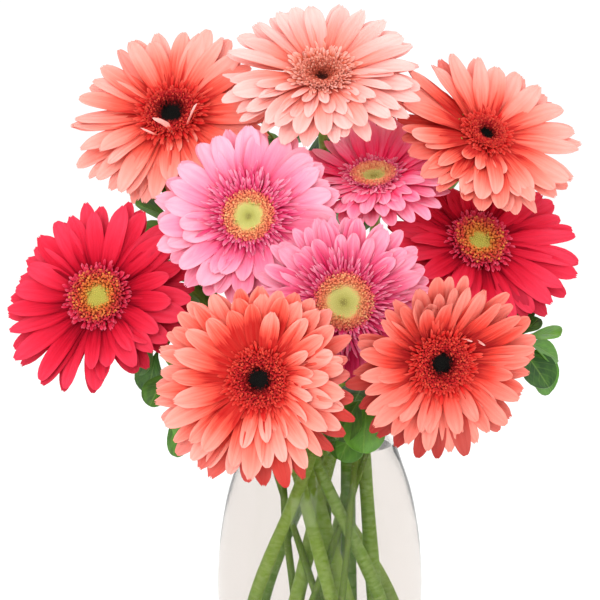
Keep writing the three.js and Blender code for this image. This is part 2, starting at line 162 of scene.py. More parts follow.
# What each kind of head is made of. A whorl of ray florets: how many, its share of the head's reach,
# how wide they are, how much more they rise than the head does, how far they arch back towards the
# tip, and the radius and height that they spring from. An inner whorl has a length in place of a
# share. Then the outline of the florets, the height of the eye and of the ring round it, the number
# of disc florets, the radius of the eye and of the disc, the finishes, and the material slot.
CORAL = dict(
    inner=((80, 4.4, 1.15, 50, 34, 13.6, 1.6), (80, 6.4, 1.3, 36, 26, 14.2, 1.2), (60, 8.6, 1.7, 24, 20, 14.4, 0.9)),
    eye_height=0.4, ring=2.6, florets=760, eye=5.2, disc=15.4, petals="coral", centre="coral", slot="coral")
PINK = dict(
    inner=((90, 5.5, 1.1, 54, 40, 13.8, 2.0), (92, 9.0, 1.25, 38, 34, 14.2, 1.6),
           (88, 12.5, 1.45, 26, 28, 14.4, 1.2), (64, 16.0, 1.8, 15, 20, 14.6, 0.8)),
    eye_height=1.2, ring=1.0, disc=15.6, centre="pink", slot="pink")
KINDS = {
    "coral": CORAL | dict(
        whorls=((25, 1.0, 12.8, -3, 8, 11, -1.8), (23, 0.95, 12.4, 3, 10, 11, -1.1)),
        blunt=3.0, broadest=0.5, disc=15.2),
    "full_coral": CORAL | dict(
        whorls=((28, 1.0, 12.0, -3, 9, 11, -1.8), (26, 0.95, 11.6, 3, 11, 11, -1.1),
                (20, 0.82, 11.0, 8, 13, 11.5, -0.4)),
        blunt=2.8, broadest=0.52, eye=5.4),
    "deep_coral": CORAL | dict(
        whorls=((28, 1.0, 10.8, -3, 9, 11, -1.8), (27, 0.94, 10.4, 3, 11, 11, -1.1)),
        blunt=2.6, broadest=0.52, petals="deep_coral"),
    "peach": dict(
        whorls=((26, 1.0, 12.2, -4, 14, 11, -1.8), (24, 0.94, 11.8, 4, 16, 11, -1.1)),
        inner=((74, 4.2, 1.4, 62, 40, 13.6, 1.8), (72, 6, 1.6, 48, 32, 14.0, 1.4), (58, 9, 2.0, 34, 26, 14.2, 1.0)),
        blunt=2.8, broadest=0.56, eye_height=-2.2, ring=4.0, florets=740, eye=3.8, disc=14.2,
        petals="peach", centre="peach", slot="peach"),
    "pink": PINK | dict(
        whorls=((25, 1.0, 13.6, -3, 8, 11, -1.8), (23, 0.95, 13.4, 3, 10, 11, -1.1)),
        blunt=3.4, broadest=0.56, florets=760, eye=7.4, petals="pink"),
    "streaked_pink": PINK | dict(
        whorls=((30, 1.0, 10.4, -3, 6, 11, -1.8), (28, 0.95, 10.0, 3, 8, 11, -1.1)),
        blunt=3.2, broadest=0.6, florets=820, eye=8.2, petals="streaked_pink"),
    "deep_pink": dict(
        whorls=((27, 1.0, 10.4, -3, 12, 11, -1.8), (25, 0.94, 10.0, 4, 14, 11, -1.1)),
        inner=((64, 3.6, 1.4, 50, 40, 13.8, 1.6), (60, 5.4, 1.6, 38, 34, 14.0, 1.3), (50, 8.5, 2.0, 26, 28, 14.2, 0.9)),
        blunt=2.8, broadest=0.56, eye_height=0.6, ring=1.2, florets=640, eye=8.0, disc=14.6,
        petals="deep_pink", centre="pink", slot="deep_pink"),
    "red": dict(
        whorls=((25, 1.0, 13.0, -3, 6, 11, -1.8), (23, 0.95, 12.6, 2, 8, 11, -1.1)),
        inner=((70, 3.6, 1.3, 60, 50, 13.6, 1.8), (70, 4.8, 1.4, 44, 46, 14.6, 1.4), (50, 6.2, 1.8, 28, 34, 15.0, 0.9)),
        blunt=2.6, broadest=0.5, eye_height=1.2, ring=1.4, florets=460, eye=5.8, disc=15.4,
        petals="red", centre="red", slot="red"),
}


# ---- small helpers on arrays ----

def unit(vectors):
    """Vectors divided by their length."""
    return vectors / np.linalg.norm(vectors, axis=-1, keepdims=True)


def smooth(share):
    """0 below 0, 1 above 1, and 3 s^2 - 2 s^3 in between."""
    s = np.clip(share, 0, 1)
    return s * s * (3 - 2 * s)


def grid(rows, columns, closed=False):
    """The quads of a grid of points counted row by row, and the place (row share, column share) of
    each of their corners. A closed grid joins its last column to its first."""
    strips = columns if closed else columns - 1
    i, j = (a.ravel() for a in np.meshgrid(np.arange(rows - 1), np.arange(strips), indexing="ij"))
    k = (j + 1) % columns
    quads = np.stack([i * columns + j, i * columns + k, (i + 1) * columns + k, (i + 1) * columns + j], 1)
    corners = np.stack([(i, j), (i, j + 1), (i + 1, j + 1), (i + 1, j)], 0).transpose(2, 0, 1)
    return quads, corners / np.array([rows - 1, strips], float)


def repeated(faces, count, size):
    """The faces of one shape for count copies of it that hold size points each."""
    return (faces[None] + size * np.arange(count)[:, None, None]).reshape(-1, faces.shape[1])


def enclosed(points, faces):
    """Six times the volume that the faces enclose: positive if they face outwards."""
    total = 0.0
    for group in faces:
        for k in range(1, group.shape[1] - 1):
            a, b, c = points[group[:, 0]], points[group[:, k]], points[group[:, k + 1]]
            total += np.einsum("ij,ij->i", a, np.cross(b, c)).sum()
    return total


def make_mesh(name, points, faces, places, material, crease=55, marks=()):
    """An object from points in millimetres, faces in groups of one size each, the place of each
    corner for the UV map, and named values that belong to the points."""
    if enclosed(points - points.mean(0), faces) < 0:
        faces = [group[:, ::-1] for group in faces]
        places = [group[:, ::-1] for group in places]
    mesh = bpy.data.meshes.new(name)
    corners = np.concatenate([group.ravel() for group in faces])
    sides = np.concatenate([np.full(len(group), group.shape[1]) for group in faces])
    mesh.vertices.add(len(points))
    mesh.vertices.foreach_set("co", (points * MM).astype(np.float32).ravel())
    mesh.loops.add(len(corners))
    mesh.loops.foreach_set("vertex_index", corners.astype(np.int32))
    mesh.polygons.add(len(sides))
    mesh.polygons.foreach_set("loop_start", (np.cumsum(sides) - sides).astype(np.int32))
    mesh.polygons.foreach_set("use_smooth", np.ones(len(sides), bool))
    layer = mesh.uv_layers.new(name="UVMap")
    flat = np.concatenate([group.reshape(-1, 2) for group in places])
    layer.data.foreach_set("uv", flat.astype(np.float32).ravel())
    for mark, values in dict(marks).items():
        attribute = mesh.attributes.new(mark, "FLOAT", "POINT")
        attribute.data.foreach_set("value", values.astype(np.float32).ravel())
    mesh.update(calc_edges=True)
    mesh.set_sharp_from_angle(angle=math.radians(crease))
    mesh.materials.append(material)
    made = bpy.data.objects.new(name, mesh)
    bpy.context.scene.collection.objects.link(made)
    return made


def show(made, slot, *nodes):
    """The piece rides with the arrangement and stands for the nodes. The slot is not used."""
    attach(made, "root")
    if nodes:
        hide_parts(*nodes)
    return made


# ---- materials ----

def colour(code):
    """A colour written as six hex digits, in linear light, with full opacity."""
    shares = [int(code[i:i + 2], 16) / 255 for i in (0, 2, 4)]
    return tuple(s / 12.92 if s <= 0.04045 else ((s + 0.055) / 1.055) ** 2.4 for s in shares) + (1.0,)


class Value:
    """A socket of a material's nodes, used in a sum like a number."""

    def __init__(self, shade, socket):
        self.shade = shade
        self.socket = socket

    def out(self, name):
        return Value(self.shade, self.socket.node.outputs[name])

    def sum(self, operation, *terms):
        return self.shade.add("ShaderNodeMath", {"operation": operation}, dict(enumerate(terms)))

    def __add__(self, other):
        return self.sum("ADD", self, other)

    def __sub__(self, other):
        return self.sum("SUBTRACT", self, other)

    def __rsub__(self, other):
        return self.sum("SUBTRACT", other, self)

    def __mul__(self, other):
        return self.sum("MULTIPLY", self, other)

    def __pow__(self, other):
        return self.sum("POWER", self, other)

    __radd__ = __add__
    __rmul__ = __mul__

    def clipped(self):
        return self.sum("MINIMUM", self.sum("MAXIMUM", self, 0), 1)


class Shade:
    """A material, or the world, and the nodes that make it."""

    def __init__(self, name, kinds=bpy.data.materials):
        self.owner = kinds.new(name)
        self.owner.use_nodes = True
        self.tree = self.owner.node_tree
        self.tree.nodes.clear()

    def add(self, kind, settings=(), inputs=(), output=0):
        """A node of a kind: its settings first, then the values, hex colours or links of its sockets."""
        node = self.tree.nodes.new(kind)
        for key, value in dict(settings).items():
            if key == "stops":
                ramp = node.color_ramp
                for position, _ in value[1:-1]:
                    ramp.elements.new(position)
                ramp.elements[0].position = value[0][0]
                ramp.elements[-1].position = value[-1][0]
                for element, (_, code) in zip(ramp.elements, value):
                    element.color = colour(code)
            else:
                setattr(node, key, value)
        for key, value in dict(inputs).items():
            if isinstance(value, Value):
                self.tree.links.new(value.socket, node.inputs[key])
            else:
                node.inputs[key].default_value = colour(value) if isinstance(value, str) else value
        return Value(self, node.outputs[output])

    def mark(self, name):
        return self.add("ShaderNodeAttribute", {"attribute_name": name}, output="Fac")

    def parts(self, vector):
        return self.add("ShaderNodeSeparateXYZ", inputs={0: vector})

    def place(self):
        """How far along and across the piece, from 0 to 1."""
        parts = self.parts(self.add("ShaderNodeUVMap", {"uv_map": "UVMap"}))
        return parts.out("X"), parts.out("Y")

    def off_middle(self, across):
        """0 in the middle and 1 at both edges."""
        return self.add("ShaderNodeMath", {"operation": "ABSOLUTE"}, {0: across * 2 - 1})

    def at(self, x, y, z):
        return self.add("ShaderNodeCombineXYZ", inputs={0: x, 1: y, 2: z})

    def here(self):
        return self.add("ShaderNodeTexCoord", output="Object")

    def noise(self, vector, scale=1.0, detail=2.0):
        return self.add("ShaderNodeTexNoise", inputs={"Vector": vector, "Scale": scale, "Detail": detail})

    def ramp(self, share, *stops):
        return self.add("ShaderNodeValToRGB", {"stops": stops}, {0: share})

    def mix(self, share, first, second):
        return self.add("ShaderNodeMix", {"data_type": "RGBA"}, {0: share, 6: first, 7: second}, output=2)

    def bump(self, height, strength, distance):
        return self.add("ShaderNodeBump", inputs={"Height": height, "Strength": strength, "Distance": distance})

    def finish(self, paint, roughness, glow=None, **inputs):
        """A Principled surface, with light that goes through its skin where glow says how much, its
        colour and how deep. Underscores in the names of sockets stand for spaces."""
        named = {key.replace("_", " "): value for key, value in inputs.items()}
        if glow:
            named |= dict(zip(("Subsurface Weight", "Subsurface Radius", "Subsurface Scale"), glow))
        surface = self.add("ShaderNodeBsdfPrincipled", inputs={"Base Color": paint, "Roughness": roughness} | named)
        return self.close(surface, "ShaderNodeOutputMaterial")

    def close(self, surface, kind):
        output = self.tree.nodes.new(kind)
        self.tree.links.new(surface.socket, output.inputs["Surface"])
        return self.owner


def petal_material(name, deep, base, middle, tip, under, shine=0.62, spread_of_tone=0.3):
    """Satin petal: deep at the base and paler to the tip, with painted shade along the margins low down, where the
    petals shade each other, and pale margins near the tip, with two channels and fine streaks along it, each petal
    with its own tone, painted shade on the shaded sides of the head and on its lowest whorl, and a darker back."""
    s = Shade(name)
    along, across = s.place()
    # tone: each petal's own tone, lowered by painted shade on the shaded sides of the head
    tone = s.mark("tone")
    # painted shade: the margins are painted deep low down, where neighbouring petals shade them; near the tip they are
    # pale
    gap_shade_and_pale_edge = s.off_middle(across) ** 4.0
    streaks = s.noise(s.at(along * 1.2, across * 11, tone * 31), detail=3.0)
    cloud = s.noise(s.at(along * 2.4, across * 2.6, tone * 17), detail=2.0)
    channel = s.add("ShaderNodeMath", {"operation": "COSINE"}, {0: across * (6 * math.pi)}) * 0.5 + 0.5
    share = (along + (streaks - 0.5) * 0.42 + (cloud - 0.5) * 0.26 + (tone - 0.5) * spread_of_tone
             + gap_shade_and_pale_edge * (along - 0.62) * 0.85)
    top = s.ramp(share.clipped(), (0.08, deep), (0.32, base), (0.62, middle), (0.94, tip))
    lines = (channel * 0.24 + (streaks - 0.4) * 0.8).clipped()
    veined = s.mix(lines * 0.45, top, base)
    faced = s.mix(s.mark("under") * 0.85, veined, under)
    # painted shade: where marked, the lowest whorl is painted towards the deep colour, more so towards the tip
    paint = s.mix(s.mark("aged") * (0.45 + along * 0.45), faced, deep)
    ribs = s.noise(s.at(along * 1.1, across * 24, tone * 11), detail=2.0)
    return s.finish(paint, shine + streaks * 0.12, (0.15, (1.0, 0.4, 0.35), 0.001), Specular_IOR_Level=0.18,
                    Specular_Tint=middle, Normal=s.bump(ribs * 0.6 + streaks * 0.5 - channel * 0.35, 0.5, 0.0007))


def disc_material(name, stops, shade, fleck, start=0.36, shine=0.65):
    """Packed disc florets: colour by distance from the middle, each with its own tone, painted shade down
    their sides where the packed florets shade each other, and flecked tips beyond the eye."""
    s = Shade(name)
    tone, ring, tip = s.mark("tone"), s.mark("ring"), s.mark("tip")
    body = s.ramp(ring + (tone - 0.5) * 0.16, *stops)
    # painted shade: the lower part of each floret beyond the eye is painted in the shade colour
    shaded = s.mix((1 - tip) * 0.6 * ((ring - start) * 6).clipped(), body, shade)
    lit = s.mix(((tone - 0.58) * 2.4).clipped() * tip * ((ring - start) * 5).clipped(), shaded, fleck)
    grain = s.noise(s.here(), scale=2600.0, detail=2.0)
    return s.finish(lit, shine + grain * 0.2, (0.1, (1.0, 0.4, 0.25), 0.001), Specular_IOR_Level=0.15,
                    Normal=s.bump(grain, 0.3, 0.0003))


def stem_material(name):
    """Green stem with fine ribs along it and soft paler bands across it."""
    s = Shade(name)
    along, round_ = s.place()
    tone = s.mark("tone")
    ribs = s.noise(s.at(along * 6, round_ * 60, tone * 9), detail=2.0)
    bands = s.noise(s.at(along * 160, round_ * 5, tone * 5), detail=3.0)
    cloud = s.noise(s.here(), scale=55.0, detail=2.0)
    body = s.mix((cloud * 0.7 + tone * 1.0 - 0.4).clipped(), "528a02", "94b834")
    paint = s.mix((bands * 2.2 - 0.8).clipped() * 0.5, body, "c6de90")
    return s.finish(paint, 0.38 + bands * 0.2, (0.15, (0.6, 1.0, 0.25), 0.0015), Specular_IOR_Level=0.45,
                    Normal=s.bump(ribs * 0.5 + bands * 0.7, 0.5, 0.0005))


def leaf_material(name):
    """Glossy leaf: midrib and side veins in its own place map, a mottled green and a paler back."""
    s = Shade(name)
    along, across = s.place()
    tone = s.mark("tone")
    off_rib = s.off_middle(across)
    slanted = (along - off_rib * 0.32) * 46
    side = s.add("ShaderNodeMath", {"operation": "SINE"}, {0: slanted})
    side = ((side - 0.72) * 3.0).clipped() * (1 - off_rib * 0.6)
    rib = (1 - off_rib * 14).clipped()
    mottle = s.noise(s.at(along * 4, across * 5, tone * 23), detail=4.0)
    body = s.mix((mottle * 1.1 + (tone - 0.5) * 0.9 - 0.1).clipped(), "1f470e", "609a2c")
    veined = s.mix((rib * 0.4 + side * 0.16).clipped(), body, "84ac48")
    paint = s.mix(s.mark("under") * 0.8, veined, "6f9648")
    return s.finish(paint, 0.36 + mottle * 0.16, (0.08, (0.5, 1.0, 0.2), 0.001), Specular_IOR_Level=0.35,
                    Coat_Weight=0.1, Coat_Roughness=0.25,
                    Normal=s.bump(mottle * 0.5 - side * 0.5 - rib * 0.8, 0.45, 0.0006))


def bark_material(name):
    """Thin olive-green bark with small pale pores."""
    s = Shade(name)
    cloud = s.noise(s.here(), scale=140.0, detail=4.0)
    pores = s.noise(s.here(), scale=900.0, detail=1.0)
    body = s.mix(cloud, "54801c", "86a044")
    paint = s.mix(((pores - 0.62) * 6).clipped(), body, "b3b384")
    return s.finish(paint, 0.62 + cloud * 0.15, Specular_IOR_Level=0.3,
                    Normal=s.bump(cloud + pores * 0.6, 0.5, 0.0004))


def clear_material(name, tint, index, waves, mirror):
    """Glass or water: clear, with faint slow waves in its surface from how it was made or how it lies,
    and a share of the mirroring that its index gives. Near the foot it lets light straight through, so
    that the surface under the vase is lit."""
    s = Shade(name)
    wave = s.noise(s.here(), scale=waves, detail=1.0)
    foot = ((FOOT_LIT * MM - s.parts(s.here()).out("Z")) * (2 / (FOOT_LIT * MM))).clipped()
    return s.finish(tint, 0.0, IOR=index, Transmission_Weight=1.0, Alpha=1 - foot * 0.75,
                    Specular_Tint=(mirror, mirror, mirror, 1.0), Normal=s.bump(wave, 0.12, 0.0012))


def floor_material(name):
    """Matt pale paper."""
    s = Shade(name)
    return s.finish(s.mix(s.noise(s.here(), scale=40.0, detail=3.0), "f7f7f6", "fafaf9"), 0.7)


def petal_materials(piece, rows):
    """The finish of the petals of each kind of head, from its deep, base, middle, tip and under colours."""
    return {kind: petal_material(f"{kind} {piece}".replace("_", " "), *codes) for kind, *codes in rows}


PETALS = petal_materials("petal", (
    ("coral", "b41c1c", "f15a4a", "fb8f80", "fdaca1", "d0584a"),
    ("deep_coral", "96161a", "d83f34", "ea7264", "f49183", "b8403a"),
    ("peach", "dc6250", "f08a7c", "f7a8a0", "fbc2bc", "ee8c7a"),
    ("pink", "d42458", "ee6388", "f98fab", "fcaec2", "e8648a"),
    ("streaked_pink", "b41846", "d83a66", "ea668a", "faa2b9", "d04870"),
    ("deep_pink", "dc1c4c", "f83e6c", "fd7298", "ffa8c0", "e04470"),
    ("red", "7c0818", "bc142a", "d8273f", "e23c54", "ac142c", 0.7, 0.34)))
INNER = petal_materials("inner floret", (
    ("coral", "a80f16", "d42626", "e04036", "ec5a4c", "c4201e"),
    ("peach", "d05c40", "ea826c", "f5a596", "fac0b4", "e0785f"),
    ("pink", "c81c4e", "e44476", "f06e94", "faa8be", "d02c5c"),
    ("deep_pink", "bc1848", "e04070", "f0708f", "fba8bc", "c82c58"),
    ("red", "8c0a20", "c41c38", "d83450", "e86078", "a0122a", 0.7)))
INNER["deep_coral"] = INNER["coral"]
INNER["streaked_pink"] = INNER["pink"]
DISCS = {
    "coral": disc_material("dark eye florets", ((0.0, "0b0c09"), (0.34, "0e0706"), (0.42, "7c0c12"),
                                                (0.6, "c4222a"), (1.0, "e03c38")), "860c12", "ec6248"),
    "peach": disc_material("brown eye florets", ((0.0, "260a05"), (0.2, "561c12"), (0.34, "b8503c"),
                                                 (0.65, "d8705a"), (1.0, "f0a090")), "b0503c", "f2b09a"),
    "pink": disc_material("orange ring florets", ((0.0, "98904c"), (0.1, "bcb862"), (0.3, "ccca78"),
                                                  (0.46, "dcd684"), (0.56, "f0b47c"), (0.78, "f2906e"),
                                                  (1.0, "ee6c78")), "e07060", "f8cc90", 0.5),
    "red": disc_material("olive eye florets", ((0.0, "b8b050"), (0.34, "c2b454"), (0.48, "da8238"),
                                               (0.7, "d24a38"), (1.0, "c82c46")), "8c1422", "eca04c", 0.4),
}
STEM = stem_material("gerbera stem")
LEAF = leaf_material("round leaf")
BARK = bark_material("twig bark")
GLASS = clear_material("clear glass", "edeae8", 1.2, 22.0, 1.0)
WATER = clear_material("clear water", "fefdfc", 1.18, 9.0, 0.6)


# ---- thin blades: petals, bracts and leaves ----

STATIONS = np.array([0, 0.1, 0.22, 0.35, 0.48, 0.6, 0.71, 0.81, 0.89, 0.95, 0.985, 1.0])
SHORT_STATIONS = np.array([0, 0.3, 0.6, 0.85, 1.0])
PETAL_COLUMNS = 9


def outline(along, waist, broadest, blunt):
    """Half width along a blade, 1 at its broadest: it grows smoothly from the waist at the base, and
    past the broadest place falls as the root of 1 - 0.95 t^blunt."""
    grown = waist + (1 - waist) * smooth(along / broadest)
    t = np.clip((along - broadest) / (1 - broadest), 0, 1)
    return grown * np.sqrt(1 - 0.95 * t ** blunt)


def shells(upper, lower, stations):
    """Closed shells between pairs of grids of shape (count, rows, columns, 3), joined round their
    borders. Gives the points, the quads, their places and 1 for points of the lower side."""
    count, rows, columns, _ = upper.shape
    size = rows * columns
    quads, _ = grid(rows, columns)
    border = np.concatenate([
        np.arange(columns), np.arange(2 * columns - 1, size, columns),
        np.arange(size - 2, size - columns - 1, -1), np.arange(size - 2 * columns, 0, -columns)])
    after = np.roll(border, -1)
    rim = np.stack([border, border + size, after + size, after], 1)
    one = np.concatenate([quads, quads[:, ::-1] + size, rim])
    index = one % size
    places = np.stack([stations[index // columns], index % columns / (columns - 1)], -1)
    points = np.stack([upper.reshape(count, -1, 3), lower.reshape(count, -1, 3)], 1).reshape(-1, 3)
    under = np.tile(np.repeat([0.0, 1.0], size), count)
    return points, [repeated(one, count, 2 * size)], [np.tile(places, (count, 1, 1))], under


def blades(stations, columns, direction, start, base, length, width, rise, arch, curl, cup, roll, twist, sway,
           blunt, notch=0, ripple=0, waist=0.45, broadest=0.6, groove=0.0, thickness=0.4):
    """Blades that spring from a circle about +z. Along a blade the slope is rise - arch s - curl c(s),
    where c grows from 0 to 1 over the last third, and the midline is its sum. Across it the height is
    cup w (v^2 - 1/3) + groove cos(3 pi v) + ripple w |v|^1.5 sin(9 s + direction), it is turned by
    roll + twist s, and it sways by sway length s^2. The tip is drawn back by notch length at its
    edges and at its two channels. Each argument from start to ripple has one value, or one for each
    blade. Gives upper and lower grids."""
    start, base, length, width, rise, arch, curl, cup, roll, twist, sway, blunt, notch, ripple = (
        np.broadcast_to(value, len(direction))[:, None, None] for value in (
            start, base, length, width, rise, arch, curl, cup, roll, twist, sway, blunt, notch, ripple))
    s = stations[None, :, None]
    v = np.linspace(-1, 1, columns)[None, None, :]
    phi = np.radians(direction)[:, None, None]
    slope = np.radians(rise - arch * s - curl * smooth((s - 0.66) / 0.34))
    middle = (slope[:, 1:] + slope[:, :-1]) / 2
    steps = np.diff(stations)[None, :, None] * length
    out, up = (first + np.concatenate([np.zeros_like(steps[:, :1]), np.cumsum(part(middle) * steps, 1)], 1)
               for first, part in ((start, np.cos), (base, np.sin)))
    half = width / 2 * outline(s, waist, broadest, blunt)
    angle = np.radians(roll + twist * s)
    bell = np.sin(np.pi * np.clip(s, 0, 0.97)) ** 0.5
    drawn = notch * length * smooth((s - 0.8) / 0.2) * (0.5 - 0.5 * np.cos(3 * np.pi * v))
    wave = ripple * half * np.abs(v) ** 1.5 * np.sin(9 * s + phi * 40 + 2 * v)
    surface = cup * half * (v * v - 1 / 3) + groove * bell * np.cos(3 * np.pi * v) + wave
    grids = []
    for depth in (0.0, 1.0):
        height = surface - depth * thickness * (1 - 0.45 * s)
        side = half * v * np.cos(angle) - height * np.sin(angle) + sway * length * s * s
        above = half * v * np.sin(angle) + height * np.cos(angle)
        radius = out - np.sin(slope) * above - np.cos(slope) * drawn
        z = up + np.cos(slope) * above - np.sin(slope) * drawn
        x = radius * np.cos(phi) - side * np.sin(phi)
        y = radius * np.sin(phi) + side * np.cos(phi)
        grids.append(np.stack([x, y, z], -1))
    return grids


def head_axes(head):
    """Rows: the head's right, its up and the way that it faces."""
    turn, lift = np.radians(head["turn"]), np.radians(head["lift"])
    front = np.array([np.sin(turn) * np.cos(lift), -np.cos(turn) * np.cos(lift), np.sin(lift)])
    right = unit(np.cross([0, 0, 1], front))
    return np.stack([right, np.cross(front, right), front])


def placed(points, head):
    """Points of a head's own frame in the frame of the arrangement."""
    return points @ head_axes(head) + np.array(head["at"], float)


def risen(head, direction):
    """How far the florets of a head rise in a direction, between its values at the bottom and the top."""
    low, high = head["rise"]
    return (low + high) / 2 + (high - low) / 2 * np.sin(np.radians(direction))


def facing(direction, sides):
    """The sum over sides (toward, by, sharpness) of by times the cosine of the angle to each, to the
    power of its sharpness or else squared, where the angle is less than a right angle."""
    total = np.zeros_like(direction)
    for toward, by, *sharpness in sides:
        total += by * np.clip(np.cos(np.radians(direction - toward)), 0, 1) ** (*sharpness, 2)[0]
    return total


def wavering(rng, count):
    """Gives a function of an amount, for values from -amount to amount, one for each blade."""
    return lambda amount: rng.uniform(-amount, amount, count)


def blade_piece(name, sets, stations, columns, head, material, tones, shade=1.0, aged=None):
    """One object of several sets of blades on a head, each blade with its own tone. The last argument is painted
    shade: how far each blade is painted towards the deepest colour of its material."""
    points, faces, places, under = shells(
        np.concatenate([upper for upper, _ in sets]), np.concatenate([lower for _, lower in sets]), stations)
    each = 2 * len(stations) * columns
    marks = dict(under=under * shade, tone=np.repeat(np.concatenate(tones), each))
    if aged is not None:
        marks["aged"] = np.repeat(np.concatenate(aged), each)
    return make_mesh(name, placed(points, head), faces, places, material, marks=marks)


def ray_florets(number, head, kind, rng):
    """The whorls of long florets of one head, and its layers of shorter ones on one side."""
    whorls = [(*whorl, 0, 360) for whorl in kind["whorls"]]
    whorls += [(count, share, width, lift, arch, 11.5, -0.4, toward, span)
               for toward, span, count, share, width, lift, arch in head["layers"]]
    sets, tones, aged = [], [], []
    for place, (count, share, width, lift, arch, start, base, toward, span) in enumerate(whorls):
        by = wavering(rng, count)
        gap = span / count
        direction = toward - span / 2 + (np.arange(count) + rng.uniform()) * gap + by(0.3 * gap)
        kept = 1 - facing(direction, head["crowded"])
        reach = head["reach"] * share * kept * (1.045 - rng.uniform(0, 0.085, count))
        bend = arch + by(8)
        sets.append(blades(
            STATIONS, PETAL_COLUMNS, direction, start=start, base=base + by(0.4), length=reach - start,
            width=width * (1 + by(0.15)), rise=risen(head, direction) + lift + bend / 2 + by(4), arch=bend,
            curl=by(16), cup=0.2 + by(0.16), roll=6 + by(7), twist=by(16), sway=by(0.06),
            blunt=kind["blunt"] * (1 + by(0.22)), notch=rng.uniform(0, 0.04, count),
            ripple=rng.uniform(0, 0.16, count), waist=0.6, broadest=kind["broadest"], groove=0.26, thickness=0.45))
        # painted shade: tones are lowered on the sides of the head that lie in shade
        tones.append(rng.uniform(0, 1, count) - facing(direction, head["deeper"]))
        # painted shade: the lowest whorl is painted deep on the sides where it lies in shade
        aged.append(np.clip(facing(direction, head["lowest"]), 0, 1) * (place == 0))
    made = blade_piece(f"petals_{number}", sets, STATIONS, PETAL_COLUMNS, head, PETALS[kind["petals"]], tones,
                       aged=aged)
    return show(made, kind["slot"], f"ray_florets_{number}")


def inner_florets(number, head, kind, rng):
    """The whorls of short florets round the disc of one head."""
    sets, tones = [], []
    disc_size = head["disc_size"]
    for count, length, width, lift, arch, start, base in kind["inner"]:
        by = wavering(rng, count)
        gap = 360 / count
        direction = (np.arange(count) + rng.uniform()) * gap + by(0.45 * gap)
        bend = arch + by(18)
        sets.append(blades(
            SHORT_STATIONS, 3, direction, start=start * disc_size + by(0.7), base=base + by(0.3),
            length=length * disc_size * (1 + by(0.3)), width=width * (1 + by(0.2)),
            rise=risen(head, direction) * 0.6 + lift + by(10), arch=bend, curl=by(40), cup=0.5 + by(0.3),
            roll=by(16), twist=by(40), sway=by(0.2), blunt=3.4, waist=0.7, broadest=0.72, thickness=0.3))
        tones.append(rng.uniform(-0.7, 0.6, count))
    made = blade_piece(f"inner_florets_{number}", sets, SHORT_STATIONS, 3, head, INNER[kind["petals"]], tones, 0.5)
    return show(made, kind["slot"])


def stray_florets(number, head, rng):
    """Small pale florets that stand over the edge of the disc."""
    direction, start, length, width, rise, sway = np.array(head["strays"], float).T
    by = wavering(rng, len(direction))
    grids = blades(
        SHORT_STATIONS, 5, direction, start, base=1.5, length=length, width=width, rise=rise, arch=-10,
        curl=by(20), cup=0.5, roll=by(20), twist=by(30), sway=sway, blunt=3.0, waist=0.6, thickness=0.35)
    made = blade_piece(f"stray_florets_{number}", [grids], SHORT_STATIONS, 5, head, PETALS["peach"],
                       [np.full(len(direction), 0.65)], 0.3)
    return show(made, "peach")


# ---- the disc ----

SIDES = 6
FLORETS_OF_FULL_SIZE = 520


def trumpets(root, axis, length, mouth, dome, spin):
    """Small closed tubes: three rings of six points at 0, 0.55 and 1 of the length, the last with every
    second point drawn in, the root, and a middle point above or below the mouth. Gives the points, the
    quads, the fans, how near the tip each point is, and the number of points of one tube."""
    helper = np.where(np.abs(axis[:, :1]) < 0.9, [[1.0, 0, 0]], [[0, 1.0, 0]])
    a = unit(np.cross(axis, helper))
    b = np.cross(axis, a)
    angle = spin[:, None] + np.arange(SIDES) * 2 * np.pi / SIDES
    ring = a[:, None] * np.cos(angle)[..., None] + b[:, None] * np.sin(angle)[..., None]
    star = np.where(np.arange(SIDES) % 2 == 0, 1.0, 0.62)[None, :, None]
    rings = [root[:, None] + axis[:, None] * (share * length)[:, None, None] + ring * size * mouth[:, None, None]
             for share, size in ((0.0, 0.5), (0.55, 0.62), (1.0, star))]
    top = (root + axis * (length + dome)[:, None])[:, None]
    points = np.concatenate([*rings, root[:, None], top], 1)
    count, size, _ = points.shape
    _, (quads, fans), _ = closed_rings(points[0, :-2], len(rings), SIDES, points[0, -2:])
    tip = np.tile(np.repeat([0.0, 0.45, 1.0, 0.0, 0.7], [SIDES, SIDES, SIDES, 1, 1]), count)
    return points.reshape(-1, 3), repeated(quads, count, size), repeated(fans, count, size), tip, size


def disc_height(share, kind):
    """Height of the disc's surface: that of the eye, and a crest round it near the rim."""
    return kind["eye_height"] + kind["ring"] * np.exp(-((share - 0.8) / 0.27) ** 2)


